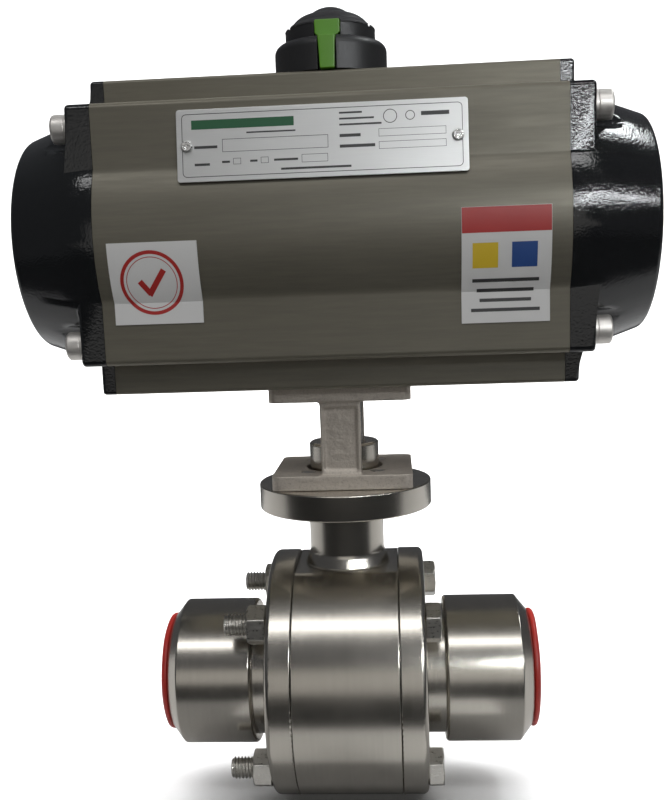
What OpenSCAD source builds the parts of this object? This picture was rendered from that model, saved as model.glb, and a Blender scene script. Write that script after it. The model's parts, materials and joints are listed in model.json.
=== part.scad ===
// Quarter-turn ball valve with butt-weld ends and a rack-and-pinion pneumatic actuator.
// Frame: origin at the ball centre, +X along the pipe, -Y to the nameplate side, +Z up the stem.

/* [Actuator] */
// length of the actuator housing between the two end caps
act_len = 156; // [120:1:220]
// height of the housing from bottom pad to top ridge
act_h = 108; // [90:1:140]
// cylinder bore radius of the housing
act_bore_r = 41; // [30:0.5:50]
// outer radius of the barrel that bulges from the side walls
barrel_r = 45.2; // [40:0.1:60]
// half depth of the flat shoulders that carry the cap screws
shoulder_y = 39.4; // [35:0.1:55]
// half height of the flat shoulders
shoulder_z = 43.3; // [38:0.1:60]
// half depth of the raised top ridge
ridge_y = 20; // [15:0.5:30]
// half depth of the raised bottom pad
pad_y = 29.5; // [20:0.5:38]
// thickness of an end cap at the shoulders
cap_t = 8.5; // [6:0.5:14]
// thickness of an end cap at the ridge and the pad
cap_tab_t = 4.8; // [3:0.1:8]
// height of the end cap dome over the cap flange
dome_h = 22.1; // [10:0.1:40]
// dome radius where it leaves the cap flange
dome_base_r = 45.2; // [35:0.1:50]
// dome radius at its outer rim
dome_rim_r = 38; // [30:0.5:48]
// rounding of the dome rim
dome_round = 2.5; // [1:0.5:14]
// half spacing of the cap screws front to back
cap_screw_y = 32; // [25:0.5:40]
// half spacing of the cap screws in height
cap_screw_z = 36.3; // [28:0.1:45]

/* [Rack and pinion] */
// gear module of the pinion and both racks
gear_m = 1.75; // [1:0.25:3]
// number of pinion teeth
gear_z = 16; // [12:2:24]
// total play between a pinion tooth and a rack gap
backlash = 0.3; // [0.1:0.05:0.5]
// inner face of each piston head from the pinion axis, pistons in
piston_x = 36; // [34:0.5:40]
// thickness of a piston head
piston_t = 14; // [10:0.5:18]

/* [Bracket] */
// height of the top of the valve's mounting flange above the pipe axis
flange_z = 75.5; // [60:0.5:100]
// height of the mounting bracket
bracket_h = 37.5; // [25:0.5:60]
// width of the bracket plates along the pipe
plate_x = 51; // [40:1:70]
// depth of the bracket plates
plate_y = 45; // [40:1:70]
// thickness of the bracket plates
plate_t = 5.5; // [4:0.5:8]
// width of the front and back bracket legs
leg_w = 14.5; // [10:0.5:24]
// thickness of the bracket legs
leg_t = 6; // [4:0.5:10]

/* [Valve] */
// outer radius of the centre body and of the connector flanges
disc_r = 46.8; // [40:0.1:60]
// half width of the centre body
body_x = 19.2; // [15:0.1:30]
// outer face of each connector flange from the stem axis
disc_x = 28.8; // [25:0.1:40]
// weld end face from the stem axis
end_x = 68.3; // [50:0.1:90]
// outer radius of the weld hub
hub_r = 27.8; // [24:0.1:36]
// bore radius of the flow passage
flow_r = 19; // [12:0.5:24]
// ball radius
ball_r = 30; // [24:0.5:36]
// bolt circle radius of the four body bolts
bolt_c = 39; // [36:0.1:44]
// outer radius of the mounting flange
iso_r = 32.5; // [30:0.5:45]
// thickness of the mounting flange
iso_t = 9.5; // [6:0.5:14]
// radius of the neck under the mounting flange
neck_r = 14.1; // [12:0.1:18]

/* [Hidden] */
$fn = 96;
e = 0.02;
zc = flange_z + bracket_h + act_h/2;
z_bot = flange_z + bracket_h;
z_top = z_bot + act_h;
hl = act_len/2;
pitch_r = gear_m*gear_z/2;
tip_r = pitch_r + 0.8*gear_m;
root_r = pitch_r - 1.1*gear_m;
base_r = pitch_r*cos(20);
rack_p = PI*gear_m;
back_y = 52;
back_z = 18;
run = 0.06;
m8 = 4;
bc = bolt_c*sqrt(0.5);
stop_z = zc - 26.5;
stop_x = 18;
stop_tip = 15;
// half spacing of the four M5 screws on the 42 mm circle, above the bracket
f04 = 21*sqrt(0.5);
// half spacing of the four M5 screws on the 36 mm circle, below the bracket
f03 = 18*sqrt(0.5);
flange_head_r = 3.75;

// ---- helpers ----
module along_x(x0, len) translate([x0, 0, 0]) rotate([90, 0, 90]) linear_extrude(len) children();
module cyl_x(r, x0, len) translate([x0, 0, 0]) rotate([0, 90, 0]) cylinder(r=r, h=len);
module cyl_y(r, y0, len) translate([0, y0, 0]) rotate([-90, 0, 0]) cylinder(r=r, h=len);
module tube_z(ro, ri, z0, h) translate([0, 0, z0]) difference() {
  cylinder(r=ro, h=h);
  translate([0, 0, -1]) cylinder(r=ri, h=h + 2);
}
module ring_x(ro, ri, x0, len) difference() {
  cyl_x(ro, x0, len);
  cyl_x(ri, x0 - 1, len + 2);
}
module box3(a, b) translate(a) cube(b - a);
module rrect(w, h, r) {
  square([w - 2*r, h], center=true);
  square([w, h - 2*r], center=true);
  for (sx = [-1, 1], sy = [-1, 1])
    translate([sx*(w/2 - r), sy*(h/2 - r)]) circle(r, $fn=32);
}
module corners_yz(y, z) for (sy = [-1, 1], sz = [-1, 1]) translate([0, sy*y, sz*z]) children();
module corners_xy(x, y) for (sx = [-1, 1], sy = [-1, 1]) translate([sx*x, sy*y, 0]) children();
module mirror_x(on) mirror([on ? 1 : 0, 0, 0]) children();
module at_actuator() translate([0, 0, zc]) children();

// ---- actuator housing ----
module shoulder_2d() {
  rrect(2*shoulder_y, 2*shoulder_z, 2);
  circle(barrel_r);
}
module ridge_2d() {
  translate([0, act_h/2 - 8]) rrect(2*ridge_y, 16, 1.2);
  translate([0, -act_h/2 + 8]) rrect(2*pad_y, 16, 1.2);
}
module back_pad_2d() translate([back_y - 12, 0]) rrect(24, 2*back_z, 1.5);
module section_2d() {
  shoulder_2d();
  ridge_2d();
  back_pad_2d();
}
module actuator_body() color([0.42, 0.41, 0.37]) difference() {
  union() {
    at_actuator() along_x(-hl, act_len) section_2d();
    for (s = [-1, 1]) translate([s*stop_x, 0, stop_z]) cyl_y(7.6, 34, 8);
  }
  at_actuator() cyl_x(act_bore_r, -hl - 1, act_len + 2);
  // air channel to the outer chambers and the two air ports
  at_actuator() translate([0, 43.9, 8.5]) cyl_x(1.6, -hl - 1, act_len + 2);
  at_actuator() for (x = [-12, 12]) translate([x, 0, 0]) cyl_y(5.9, back_y - 8.5, 10);
  at_actuator() translate([-12, 0, 0]) cyl_y(3, 30, 14);
  at_actuator() translate([12, 44, 0]) cylinder(r=1.5, h=8.5);
  // tapped holes for a pilot valve on the back pad
  at_actuator() for (sx = [-1, 1], sz = [-1, 1])
    translate([16*sx, 0, 12*sz]) cyl_y(2.1, back_y - 6, 10);
  // tapped holes for a switch box on the top ridge
  translate([0, 0, z_top - 9]) corners_xy(40, 15) cylinder(r=2.1, h=12);
  // pinion passages
  translate([0, 0, zc + 20]) cylinder(r=14.1, h=60);
  translate([0, 0, z_bot - 1]) cylinder(r=17.25, h=60);
  // tapped holes for the bracket screws
  translate([0, 0, z_bot - 1]) corners_xy(f04, f04) cylinder(r=2.55, h=10);
  // stop bolt holes and cap screw holes
  for (s = [-1, 1]) translate([s*stop_x, 0, stop_z]) cyl_y(m8 + 0.05, 15, 40);
  for (s = [0, 1]) mirror_x(s == 1) at_actuator()
    corners_yz(cap_screw_y, cap_screw_z) cyl_x(3.05, hl - 16, 20);
  // blind holes for the nameplate screws
  for (x = plate_screw_x) translate([x, 0, plate_zc]) cyl_y(1.25, -shoulder_y - 1, 4.2);
}

// ---- end caps ----
// point where a line from p touches the circle of radius r about c, on the outer side
function tangent(p, c, r) =
  let (d = c - p, l = norm(d), a = atan2(d[1], d[0]), b = asin(r/l), t = sqrt(l*l - r*r))
  p + t*[cos(a - b), sin(a - b)];
module dome_2d() {
  c = [dome_rim_r - dome_round, cap_t + dome_h - dome_round];
  t = tangent([dome_base_r, cap_t], c, dome_round);
  polygon([[0, cap_t - 1], [dome_base_r, cap_t - 1], [dome_base_r, cap_t], t, c,
    [c[0], cap_t + dome_h], [0, cap_t + dome_h]]);
  intersection() {
    translate(c) circle(dome_round);
    square([dome_base_r, cap_t + dome_h]);
  }
}
module end_cap(left) color([0.06, 0.06, 0.07]) mirror_x(left) at_actuator() {
  difference() {
    union() {
      along_x(hl, cap_tab_t) section_2d();
      along_x(hl, cap_t) shoulder_2d();
      translate([hl, 0, 0]) rotate([0, 90, 0]) rotate_extrude() dome_2d();
      cyl_x(act_bore_r - 0.1, hl - 3.4, 3.6);
    }
    // hollow, air slot, screw holes and the pockets that clear the screw heads
    cyl_x(35.5, hl - 5, 12);
    cyl_x(31, hl - 5, cap_t + dome_h - 0.5);
    box3([hl - e, 33, 6.4], [hl + 2.5, 46, 10.6]);
    corners_yz(cap_screw_y, cap_screw_z) cyl_x(3.3, hl - 1, 20);
    corners_yz(cap_screw_y, cap_screw_z) cyl_x(7, hl + cap_t, 40);
    // groove for the cap seal
    ring_x(act_bore_r + 1, 38.1, hl - 2.7, 2);
  }
}
module left_end_cap() end_cap(true);
module right_end_cap() end_cap(false);
module left_cap_seal() cap_seal_ring(true);
module right_cap_seal() cap_seal_ring(false);
module cap_seal_ring(left) color([0.08, 0.08, 0.08]) mirror_x(left) at_actuator()
  ring_x(act_bore_r - 0.02, 38.15, hl - 2.6, 1.8);
module cap_screw() {
  cyl_x(3, hl - 15, 15 + cap_t + 1.6);
  difference() {
    union() {
      cyl_x(4.9, hl + cap_t + 1.2, 4.4);
      translate([hl + cap_t + 5.6, 0, 0]) rotate([0, 90, 0]) cylinder(r1=4.9, r2=4.3, h=0.6);
    }
    translate([hl + cap_t + 3.4, 0, 0]) rotate([0, 90, 0]) cylinder(r=2.9, h=6, $fn=6);
  }
}
module cap_screws() color([0.78, 0.77, 0.75]) for (s = [0, 1]) mirror_x(s == 1)
  at_actuator() corners_yz(cap_screw_y, cap_screw_z) cap_screw();
module cap_washers() color([0.7, 0.7, 0.68]) for (s = [0, 1]) mirror_x(s == 1)
  at_actuator() corners_yz(cap_screw_y, cap_screw_z) ring_x(5.1, 3.2, hl + cap_t + 0.02, 1.15);

// ---- nameplate and labels ----
plate_x0 = -49;
plate_x1 = 45.5;
plate_zc = zc + 27.6;
plate_h = 23.5;
plate_screw_x = [-45.6, 42.2];
// the plate leans out at its lower edge, where it rests on the bulge of the barrel
plate_tilt = 7.6;
plate_s = -shoulder_y - 0.9 - plate_h/2*sin(plate_tilt);
module nameplate() color([0.8, 0.8, 0.79])
  translate([0, -shoulder_y - 0.05, plate_zc + plate_h/2]) rotate([90 - plate_tilt, 0, 0])
    linear_extrude(0.8) difference() {
      translate([(plate_x0 + plate_x1)/2, -plate_h/2]) rrect(plate_x1 - plate_x0, plate_h, 1);
      for (x = plate_screw_x) translate([x, -plate_h/2]) circle(1.45);
    }
module nameplate_screws() color([0.85, 0.85, 0.84])
  for (x = plate_screw_x) translate([x, 0, plate_zc]) {
    cyl_y(1.15, plate_s, -shoulder_y + 2.9 - plate_s);
    difference() {
      translate([0, plate_s - 0.25, 0]) rotate([90, 0, 0]) cylinder(r1=2, r2=1.5, h=1.2);
      box3([-1.2, plate_s - 3, -0.25], [1.2, plate_s - 0.95, 0.25]);
      box3([-0.25, plate_s - 3, -1.2], [0.25, plate_s - 0.95, 1.2]);
    }
    cyl_y(1.15, plate_s - 0.26, 1);
  }
// a thin sheet that follows the barrel and then the flat shoulder below it
crease_z = sqrt(barrel_r*barrel_r - shoulder_y*shoulder_y);
module side_label(x0, x1, z0, z1) at_actuator() {
  intersection() {
    ring_x(barrel_r + 0.45, barrel_r + 0.05, x0, x1 - x0);
    box3([x0 - 1, -60, -crease_z - 0.1], [x1 + 1, -30, z1 - zc]);
  }
  box3([x0, -shoulder_y - 0.45, z0 - zc], [x1, -shoulder_y - 0.05, -crease_z]);
}
module left_label() color([0.92, 0.92, 0.92]) side_label(-73.5, -43.5, 137.6, 164.5);
module right_label() color([0.92, 0.92, 0.92]) side_label(42.5, 71.3, 134.4, 171.6);

// ---- pinion group ----
function inv(a) = tan(a) - a*PI/180;
function tooth_half(r) = 90/gear_z - backlash/4/pitch_r*180/PI
  + (inv(20) - inv(acos(min(1, base_r/r))))*180/PI;
function flank_r(i) = base_r + 0.02 + (tip_r - base_r - 0.02)*i/5;
function polar(r, a) = [r*cos(a), r*sin(a)];
function tooth(a) = concat(
  [polar(root_r, a - tooth_half(base_r + 0.02) - 1.5)],
  [for (i = [0:5]) polar(flank_r(i), a - tooth_half(flank_r(i)))],
  [for (i = [5:-1:0]) polar(flank_r(i), a + tooth_half(flank_r(i)))],
  [polar(root_r, a + tooth_half(base_r + 0.02) + 1.5)]);
module gear_2d() polygon([for (k = [0:gear_z - 1]) each tooth(90 + k*360/gear_z)]);
module pinion() color([0.6, 0.6, 0.6]) difference() {
  union() {
    translate([0, 0, zc - 17]) linear_extrude(34) gear_2d();
    translate([0, 0, z_bot + 0.6]) cylinder(r=15.95, h=16.4);
    translate([0, 0, z_bot + 17]) cylinder(r=12, h=7);
    intersection() {
      translate([0, 0, z_bot + 23.9]) cylinder(r=12, h=7.2);
      box3([-15, -10, z_bot + 20], [15, 10, z_bot + 40]);
    }
    translate([0, 0, z_bot + 31]) cylinder(r=12, h=z_top - 2 - z_bot - 31);
    translate([0, 0, z_top - 2.5]) cylinder(r=10.9, h=4.6);
    translate([0, 0, z_top + 2]) cylinder(r=7, h=2.9);
  }
  // square drive socket, top tapped hole, seal grooves and ring groove
  box3([-7.15, -7.15, z_bot - 1], [7.15, 7.15, z_bot + 18]);
  translate([0, 0, z_top - 10]) cylinder(r=2.05, h=22);
  tube_z(20, 13.6, z_bot + 4, 2.6);
  tube_z(16, 9.7, z_top - 8.5, 2.6);
}
module pinion_orings() color([0.08, 0.08, 0.08]) {
  tube_z(15.95, 13.65, z_bot + 4.2, 2.2);
  tube_z(11.98, 9.75, z_top - 8.3, 2.2);
}
module bottom_bearing() color([0.9, 0.9, 0.85]) tube_z(17.2, 15.95 + run, z_bot + 0.5, 12.5);
module top_bearing() color([0.9, 0.9, 0.85]) tube_z(14.05, 12 + run, z_top - 11, 10.5);
module thrust_washer() color([0.9, 0.9, 0.85]) tube_z(15, 11.2, z_top + 0.02, 0.8);
module retaining_ring() color([0.5, 0.5, 0.5]) difference() {
  tube_z(13.4, 10.95, z_top + 0.95, 1);
  box3([-2.5, 5, z_top], [2.5, 20, z_top + 3]);
}
module stop_cam() color([0.55, 0.55, 0.54]) translate([0, 0, stop_z - 3.5]) difference() {
  linear_extrude(7) {
    circle(15);
    translate([-22, 3]) square([12, stop_tip - 0.1 - 3]);
    translate([3, -22]) square([stop_tip - 0.1 - 3, 12]);
  }
  translate([0, 0, -1]) intersection() {
    cylinder(r=12.05, h=9);
    box3([-15, -10.05, -1], [15, 10.05, 10]);
  }
}
module stop_bolts() color([0.78, 0.77, 0.75]) for (s = [-1, 1])
  translate([s*stop_x, 0, stop_z]) difference() {
    cyl_y(m8, stop_tip, 42);
    translate([0, stop_tip + 39, 0]) rotate([-90, 0, 0]) cylinder(r=2.3, h=4, $fn=6);
  }
module stop_nuts() color([0.78, 0.77, 0.75]) for (s = [-1, 1])
  translate([s*stop_x, 42.1, stop_z]) rotate([-90, 0, 0]) difference() {
    cylinder(r=13/sqrt(3), h=6.5, $fn=6);
    translate([0, 0, -1]) cylinder(r=m8 + 0.05, h=9);
  }

// ---- pistons with racks ----
module rack_2d() {
  // teeth point to -Y from the rack body, gap centred on x = 0
  yr = pitch_r + 1.15*gear_m;
  yt = pitch_r - 0.75*gear_m;
  w = (rack_p - backlash)/4;
  for (k = [-2:5]) {
    x = (k + 0.5)*rack_p;
    polygon([[x - w - (yr - pitch_r)*tan(20), yr + e], [x - w + (pitch_r - yt)*tan(20), yt],
      [x + w - (pitch_r - yt)*tan(20), yt], [x + w + (yr - pitch_r)*tan(20), yr + e]]);
  }
}
// the left piston: head on -X, rack arm on +Y reaching past the pinion
module piston_left_hand() color([0.72, 0.72, 0.71]) at_actuator() {
  difference() {
    union() {
      difference() {
        cyl_x(act_bore_r - 0.4, -piston_x - piston_t, piston_t);
        cyl_x(20, -piston_x - piston_t - 1, 6);
      }
      intersection() {
        union() {
          box3([-piston_x - e, pitch_r + 1.15*gear_m, -15], [33.5, 45, 15]);
          translate([0, 0, -15]) linear_extrude(30) rack_2d();
        }
        cyl_x(37.6, -piston_x - 2, 80);
      }
    }
    ring_x(act_bore_r + 1, 37.6, -piston_x - piston_t + 2.4, 3.2);
    ring_x(act_bore_r + 1, 39.2, -piston_x - piston_t + 7.6, 4.2);
    box3([-12, 36.2, -9], [24, 45, 9]);
  }
}
module piston_set(right) rotate([0, 0, right ? 180 : 0]) children();
module left_piston() piston_left_hand();
module right_piston() piston_set(true) piston_left_hand();
module piston_oring() color([0.08, 0.08, 0.08]) at_actuator()
  ring_x(act_bore_r - run, 37.65, -piston_x - piston_t + 2.6, 2.8);
module guide_ring() color([0.92, 0.92, 0.9]) at_actuator()
  ring_x(act_bore_r - run, 39.25, -piston_x - piston_t + 7.8, 3.8);
module rack_pad() color([0.92, 0.92, 0.9]) at_actuator() intersection() {
  cyl_x(act_bore_r - run, -11.8, 35.6);
  box3([-12, 36.3, -8.8], [24, 45, 8.8]);
}
module left_piston_oring() piston_oring();
module right_piston_oring() piston_set(true) piston_oring();
module left_guide_ring() guide_ring();
module right_guide_ring() piston_set(true) guide_ring();
module left_rack_pad() rack_pad();
module right_rack_pad() piston_set(true) rack_pad();

// ---- position indicator ----
ind_z = z_top + 0.3;
base_h = 11.7;
cap_z = ind_z + base_h + 0.05;
module rounded_post_2d(r, h, round) {
  square([r - round, h]);
  square([r, h - round]);
  translate([r - round, h - round]) circle(round, $fn=48);
}
module indicator_base() color([0.09, 0.09, 0.1]) translate([0, 0, ind_z]) difference() {
  rotate_extrude() rounded_post_2d(20, base_h, 3.2);
  // room for the retaining ring, pinion end, screw and its head, and the marker slot
  translate([0, 0, -1]) cylinder(r=15.3, h=2.85);
  translate([0, 0, -1]) cylinder(r=7.05, h=5.8);
  cylinder(r=2.2, h=10);
  translate([0, 0, 6.3]) cylinder(r=4.6, h=10);
  box3([-3.5, -30, -1], [2.8, -15.4, 20]);
}
// side view of the cap: wall, shoulder arc, then a small dome
module cap_2d() {
  wall_h = 4.6;
  dome_r = 11.15;
  top = 13.05;
  square([16, wall_h]);
  intersection() {
    translate([6.35, 1.23]) circle(9.05);
    square([20, 20]);
  }
  polygon([[0, 0], [16, wall_h - 1], [15.85, wall_h + 0.4], [15.3, 5.5], [13.9, 6.5], [6.35, 10.2], [0, 10.2]]);
  intersection() {
    translate([0, top - dome_r]) circle(dome_r, $fn=128);
    translate([0, 8]) square([7.6, 10]);
  }
}
module indicator_cap() color([0.09, 0.09, 0.1]) translate([0, 0, cap_z]) difference() {
  union() {
    rotate_extrude() cap_2d();
    translate([0, 0, -1.6]) cylinder(r=4.5, h=3);
  }
  // low shoulders left and right, with a shallow groove beside the raised middle
  for (s = [0, 1]) mirror_x(s == 1) {
    box3([13.6, -20, 5.2], [20, 20, 20]);
    box3([13.6, -20, 4.4], [14.3, 20, 6]);
  }
  box3([-4.6, -30, -1], [4.3, -11, 5.45]);
}
module indicator_insert() color([0.4, 0.75, 0.1]) {
  translate([0, -15.5, 0]) rotate([90, 0, 0]) linear_extrude(4.8) polygon([[-3.3, ind_z + 11.3],
    [2.6, ind_z + 11.3], [2.3, ind_z + 0.3], [-2.8, ind_z + 0.3]]);
  box3([-3.3, -16.5, ind_z + 11], [2.6, -15.5, cap_z + 0.2]);
  translate([0, -11.1, 0]) rotate([90, 0, 0]) linear_extrude(5.4) polygon([[-4.5, cap_z + 5.35],
    [4.2, cap_z + 5.35], [4.2, cap_z + 0.9], [3.2, cap_z + 0.05], [-3.9, cap_z + 0.05],
    [-4.5, cap_z + 0.9]]);
}
module indicator_screw() color([0.78, 0.77, 0.75]) {
  translate([0, 0, z_top - 8]) cylinder(r=2, h=14.8);
  difference() {
    translate([0, 0, z_top + 6.7]) cylinder(r=4.2, h=3.3);
    translate([0, 0, z_top + 8.2]) cylinder(r=2, h=6, $fn=6);
  }
}

// ---- bracket and coupling ----
leg_y = plate_y/2 - 0.9;
module fillet_2d(r) difference() {
  square([r, r]);
  translate([r, r]) circle(r, $fn=32);
}
module bracket() color([0.58, 0.56, 0.52]) translate([0, 0, flange_z]) difference() {
  union() {
    linear_extrude(plate_t) rrect(plate_x, plate_y, 3);
    translate([0, 0, bracket_h - plate_t]) linear_extrude(plate_t) rrect(plate_x, plate_y, 3);
    for (s = [-1, 1]) translate([0, s*(leg_y - leg_t/2) + leg_t/2, 0]) rotate([90, 0, 0])
      linear_extrude(leg_t) {
        translate([-leg_w/2, 1]) square([leg_w, bracket_h - 2]);
        for (m = [0, 1], n = [0, 1]) mirror([m, 0]) translate([leg_w/2 - e, n*bracket_h])
          mirror([0, n]) translate([0, plate_t - e]) fillet_2d(1.2);
      }
  }
  translate([0, 0, -1]) cylinder(r=14.3, h=plate_t + 2);
  translate([0, 0, bracket_h - plate_t - 1]) cylinder(r=12, h=plate_t + 2);
  translate([0, 0, -1]) corners_xy(f03, f03) cylinder(r=2.55, h=plate_t + 2);
  translate([0, 0, bracket_h - plate_t - 1]) corners_xy(f04, f04) cylinder(r=2.7, h=10);
  translate([0, 0, bracket_h - plate_t - e]) corners_xy(f04, f04)
    cylinder(r1=5.3, r2=2.7, h=2.6);
  for (s = [-1, 1]) box3([-leg_w/2 + 1.3, s*leg_y - 0.8, plate_t + 1.6],
    [leg_w/2 - 1.3, s*leg_y + 0.8, bracket_h - plate_t - 2]);
}
module bracket_screws() color([0.75, 0.74, 0.72])
  translate([0, 0, flange_z + bracket_h - plate_t]) corners_xy(f04, f04) difference() {
    union() {
      translate([0, 0, 0.1]) cylinder(r1=5, r2=2.5, h=2.5);
      translate([0, 0, 2.58]) cylinder(r=2.5, h=11);
    }
    translate([0, 0, -1]) cylinder(r=1.75, h=2.8, $fn=6);
  }
module flange_screws() color([0.75, 0.74, 0.72])
  translate([0, 0, flange_z - iso_t]) corners_xy(f03, f03) difference() {
    union() {
      translate([0, 0, -2.62]) cylinder(r1=flange_head_r - 0.4, r2=flange_head_r, h=1);
      translate([0, 0, -1.63]) cylinder(r=flange_head_r, h=1.6);
      translate([0, 0, -0.5]) cylinder(r=2.5, h=iso_t + 0.5 + plate_t - 0.15);
    }
    translate([0, 0, -3]) cylinder(r=1.75, h=1.9, $fn=6);
  }
module drive_coupling() color([0.62, 0.61, 0.58]) difference() {
  union() {
    translate([0, 0, flange_z + 0.8]) cylinder(r=13, h=13.4);
    translate([0, 0, flange_z + 14.18]) cylinder(r1=13, r2=12.4, h=0.8);
    box3([-7, -7, flange_z + 14], [7, 7, z_bot + 16.5]);
  }
  box3([-5.05, -5.05, flange_z - 1], [5.05, 5.05, flange_z + 12.7]);
}

// ---- valve ----
// disc about X from x0 to x1, with its edges rounded by r0 and r1
module disc(ro, x0, x1, r0, r1) rotate([0, 90, 0]) rotate_extrude() {
  translate([0, x0]) square([ro - max(r0, r1), x1 - x0]);
  translate([0, x0 + r0]) square([ro, x1 - x0 - r0 - r1]);
  if (r0 > 0) translate([ro - r0, x0 + r0]) circle(r0, $fn=32);
  if (r1 > 0) translate([ro - r1, x1 - r1]) circle(r1, $fn=32);
  if (r0 < r1) translate([0, x0]) square([ro - r0, x1 - x0 - r1]);
}
flat_z = 43.6;
module valve_body() color([0.66, 0.64, 0.6]) difference() {
  union() {
    difference() {
      disc(disc_r, -body_x, body_x, 0.5, 0.5);
      box3([-30, -60, flat_z], [30, 60, 60]);
    }
    translate([0, 0, flat_z - 1]) cylinder(r=15.9, h=1.4);
    translate([0, 0, flat_z + 0.39]) cylinder(r1=15.9, r2=neck_r, h=5.2);
    translate([0, 0, 30]) cylinder(r=neck_r, h=flange_z - 31);
    translate([0, 0, flange_z - iso_t]) rotate_extrude() {
      square([iso_r - 0.6, iso_t]);
      translate([0, 0.6]) square([iso_r, iso_t - 1.2]);
      for (z = [0.6, iso_t - 0.6]) translate([iso_r - 0.6, z]) circle(0.6, $fn=32);
    }
  }
  // ball cavity, counterbores for the body seals, bolt holes
  cyl_x(31.2, -body_x - 1, 2*body_x + 2);
  for (s = [0, 1]) mirror_x(s == 1) cyl_x(33.1, body_x - 2, 3);
  corners_yz(bc, bc) cyl_x(m8 + 0.2, -body_x - 1, 2*body_x + 2);
  // stem collar seat, stem bore, packing chamber, mounting flange holes
  translate([0, 0, 20]) cylinder(r=10.4, h=16.6);
  translate([0, 0, 30]) cylinder(r=7 + run, h=30);
  translate([0, 0, 50]) cylinder(r=11, h=40);
  corners_xy(f03, f03) translate([0, 0, flange_z - iso_t - 1]) cylinder(r=2.7, h=20);
}
module end_connector(left) color([0.66, 0.64, 0.6]) mirror_x(left) difference() {
  union() {
    disc(disc_r, body_x + 0.1, disc_x, 0.5, 2.2);
    cyl_x(24.5, disc_x - 1, 8.3);
    rotate([0, 90, 0]) rotate_extrude() polygon([[0, 36], [hub_r - 0.8, 36], [hub_r, 36.8],
      [hub_r, end_x - 4.4], [hub_r - 5.5, end_x], [0, end_x]]);
    ring_x(31, 27.3, body_x - 1.6, 2);
  }
  cyl_x(flow_r, 0, end_x + 1);
  cyl_x(27.2, body_x - 3, 8.3);
  corners_yz(bc, bc) cyl_x(m8 + 0.2, body_x - 1, 20);
}
module left_end_connector() end_connector(true);
module right_end_connector() end_connector(false);
module seat(left) color([0.93, 0.93, 0.9]) mirror_x(left) difference() {
  ring_x(27.15, flow_r + 0.3, 17, body_x + 5.25 - 17);
  sphere(r=ball_r + run, $fn=128);
}
module left_seat() seat(true);
module right_seat() seat(false);
module body_seal(left) color([0.93, 0.93, 0.9]) mirror_x(left)
  ring_x(33.05, 31.3, body_x - 1.95, 2);
module left_body_seal() body_seal(true);
module right_body_seal() body_seal(false);
module body_bolts() color([0.7, 0.69, 0.66]) corners_yz(bc, bc) {
  cyl_x(m8, -44.3, 44.3 + disc_x + 0.5);
  translate([disc_x + 0.05, 0, 0]) rotate([0, 90, 0]) intersection() {
    cylinder(r=13/sqrt(3), h=5.4, $fn=6);
    union() {
      cylinder(r=8, h=4.4);
      translate([0, 0, 4.39]) cylinder(r1=8, r2=6.4, h=1.02);
    }
  }
}
module body_nuts() color([0.7, 0.69, 0.66]) corners_yz(bc, bc)
  translate([-disc_x - 0.05, 0, 0]) rotate([0, -90, 0]) difference() {
    intersection() {
      cylinder(r=13/sqrt(3), h=6.8, $fn=6);
      union() {
        cylinder(r=8, h=5.8);
        translate([0, 0, 5.79]) cylinder(r1=8, r2=6.4, h=1.02);
      }
    }
    translate([0, 0, -1]) cylinder(r=m8 + 0.05, h=9);
  }
module ball() color([0.75, 0.75, 0.74]) difference() {
  sphere(r=ball_r, $fn=128);
  cyl_y(flow_r, -40, 80);
  box3([-4.05, -40, 23], [4.05, 40, 40]);
}
module stem() color([0.7, 0.7, 0.68]) {
  box3([-3.95, -9, 23.2], [3.95, 9, 31.1]);
  translate([0, 0, 31]) cylinder(r=9.9, h=4.4);
  translate([0, 0, 35.3]) cylinder(r=7, h=flange_z - 1.3 - 35.3);
  box3([-4.95, -4.95, flange_z - 2], [4.95, 4.95, flange_z + 12.2]);
}
module stem_thrust_seal() color([0.93, 0.93, 0.9]) tube_z(10.35, 7 + run, 35.45, 1.1);
module stem_packing() color([0.93, 0.93, 0.9]) tube_z(10.95, 7 + run, 50.05, 7.9);
module gland_ring() color([0.62, 0.61, 0.58]) tube_z(10.8, 7.1, 58, 4.6);
module disc_springs() color([0.5, 0.5, 0.5]) for (k = [0, 1]) translate([0, 0, 62.65 + 1.5*k])
  difference() {
    cylinder(r1=10.2, r2=8.6, h=1.4);
    translate([0, 0, -1]) cylinder(r=7.05, h=4);
  }
module gland_nut() color([0.7, 0.69, 0.66]) translate([0, 0, 65.7]) difference() {
  cylinder(r=18/sqrt(3), h=7.5, $fn=6);
  translate([0, 0, -1]) cylinder(r=7.03, h=10);
}

// ---- red push-in end plugs ----
module end_plug(left) color([0.75, 0.08, 0.06]) mirror_x(left) difference() {
  union() {
    cyl_x(flow_r - run, end_x - 14, 15);
    cyl_x(22.6, end_x + 0.05, 2.6);
    translate([end_x + 2.64, 0, 0]) rotate([0, 90, 0]) cylinder(r1=22.6, r2=21.6, h=0.8);
  }
  cyl_x(flow_r - 2, end_x - 15, 13.5);
}
module left_end_plug() end_plug(true);
module right_end_plug() end_plug(false);

// ---- draw ----
actuator_body();
left_end_cap();
right_end_cap();
left_cap_seal();
right_cap_seal();
cap_screws();
cap_washers();
nameplate();
nameplate_screws();
left_label();
right_label();
bottom_bearing();
top_bearing();
pinion();
pinion_orings();
stop_cam();
stop_bolts();
stop_nuts();
thrust_washer();
retaining_ring();
left_piston();
right_piston();
left_piston_oring();
right_piston_oring();
left_guide_ring();
right_guide_ring();
left_rack_pad();
right_rack_pad();
indicator_base();
indicator_cap();
indicator_insert();
indicator_screw();
bracket();
bracket_screws();
drive_coupling();
flange_screws();
valve_body();
left_end_connector();
right_end_connector();
body_bolts();
body_nuts();
left_seat();
right_seat();
left_body_seal();
right_body_seal();
ball();
stem();
stem_thrust_seal();
stem_packing();
gland_ring();
disc_springs();
gland_nut();
left_end_plug();
right_end_plug();
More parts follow.
